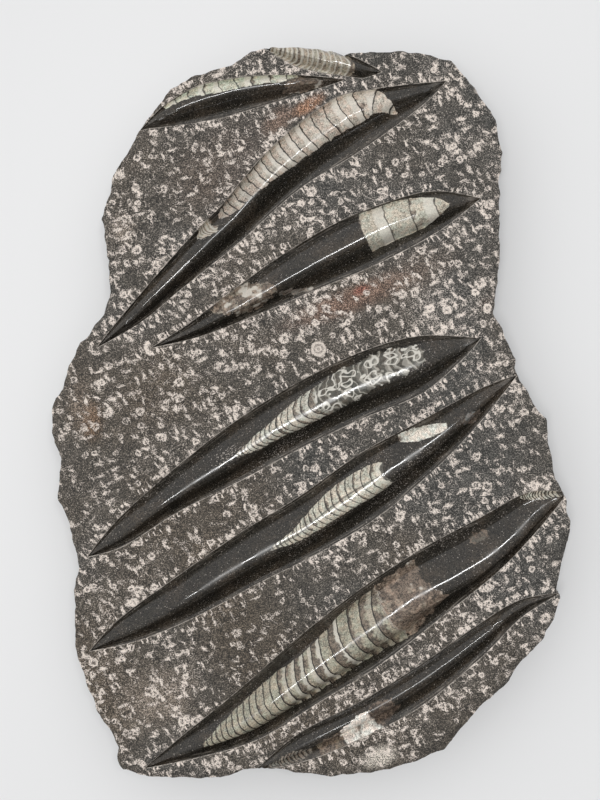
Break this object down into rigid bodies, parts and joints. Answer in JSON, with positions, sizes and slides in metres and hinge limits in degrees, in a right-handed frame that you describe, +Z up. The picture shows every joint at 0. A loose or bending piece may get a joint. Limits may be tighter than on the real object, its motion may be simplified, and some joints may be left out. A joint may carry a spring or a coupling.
{
  "type": "orthoceras fossil",
  "caption": "Rough-edged dark limestone slab with straight-shelled orthoceras fossils left as polished ridges in boat-shaped hollows, lying flat on a sawn underside.",
  "frame": {"origin": "middle of the slab's footprint, on its sawn underside", "axes": "+Y along the slab's length towards its narrower end, +X across it, +Z up out of the carved face"},
  "size_m": [0.226, 0.318, 0.03],
  "materials": {
    "fossil_limestone": "pecked dark limestone, with polished black hollows and cream calcite shells"
  },
  "bodies": {
    "root": {"fossil_slab": "fossil_limestone"}
  },
  "joints": []
}
